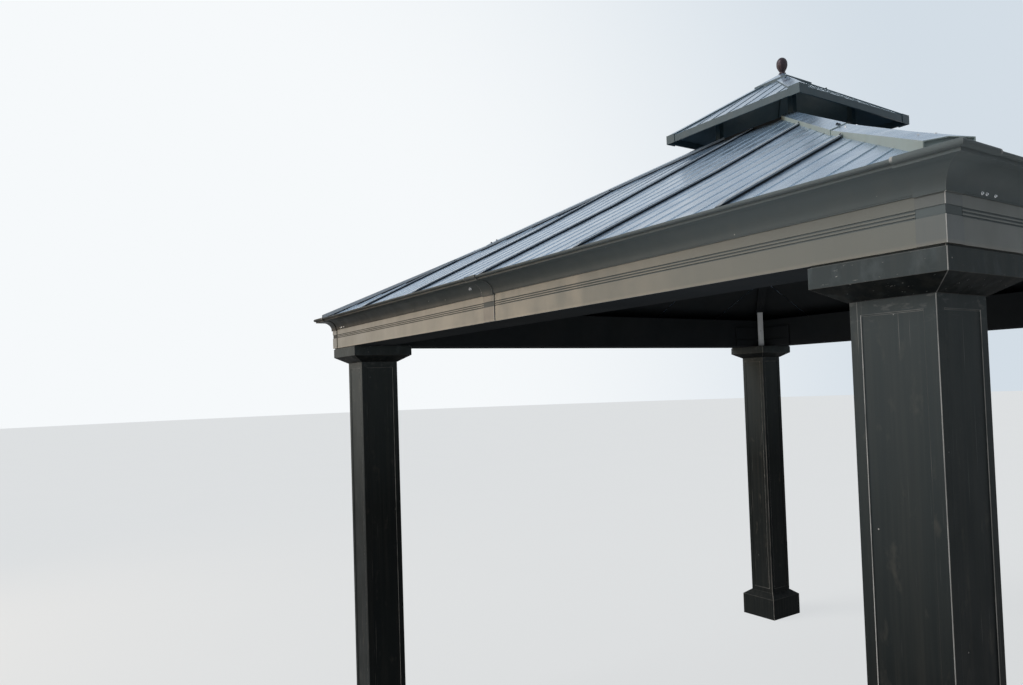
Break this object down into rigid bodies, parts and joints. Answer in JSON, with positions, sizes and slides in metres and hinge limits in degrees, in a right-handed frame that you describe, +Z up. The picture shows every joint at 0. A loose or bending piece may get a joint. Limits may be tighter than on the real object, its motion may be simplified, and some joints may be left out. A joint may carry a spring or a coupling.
{
  "type": "square metal gazebo with a two-tier hard roof",
  "caption": "Square aluminium garden gazebo with boxed columns, a moulded cornice and a ribbed hip roof in two tiers with a vent gap and a finial.",
  "frame": {"origin": "on the ground, in the middle of the square between the four columns", "axes": "+Z up, the front side faces -Y, +X to the right seen from the front"},
  "size_m": [3.666, 3.666, 3.4558],
  "materials": {
    "column_paint": "satin",
    "frame_paint": "satin",
    "cornice_paint": "satin",
    "trim_paint": "satin",
    "roof_coating": "satin",
    "mill_aluminium": "satin",
    "finial_bronze": "satin"
  },
  "bodies": {
    "root": {"column_front_right": "column_paint", "plinth_front_right": "column_paint", "capital_front_right": "column_paint", "column_back_right": "column_paint", "plinth_back_right": "column_paint", "capital_back_right": "column_paint", "column_back_left": "column_paint", "plinth_back_left": "column_paint", "capital_back_left": "column_paint", "column_front_left": "column_paint", "plinth_front_left": "column_paint", "capital_front_left": "column_paint", "beam_front": "frame_paint", "cornice_front": "cornice_paint", "roof_panels_front": "roof_coating", "seam_caps_front": "trim_paint", "beam_right": "frame_paint", "cornice_right": "cornice_paint", "roof_panels_right": "roof_coating", "seam_caps_right": "trim_paint", "beam_back": "frame_paint", "cornice_back": "cornice_paint", "roof_panels_back": "roof_coating", "seam_caps_back": "trim_paint", "beam_left": "frame_paint", "cornice_left": "cornice_paint", "roof_panels_left": "roof_coating", "seam_caps_left": "trim_paint", "corner_covers": "cornice_paint", "joint_covers": "cornice_paint", "inner_corner_covers": "frame_paint", "foot_brackets": "mill_aluminium", "hip_caps_lower": "roof_coating", "hip_caps_upper": "roof_coating", "hip_rafters": "frame_paint", "mid_rafters": "frame_paint", "top_ring": "frame_paint", "vent_posts": "frame_paint", "cupola_panels": "roof_coating", "cupola_fascia": "trim_paint", "cupola_corner_caps": "trim_paint", "cupola_hip_caps": "roof_coating", "apex_cap": "roof_coating", "finial": "finial_bronze"}
  },
  "joints": []
}
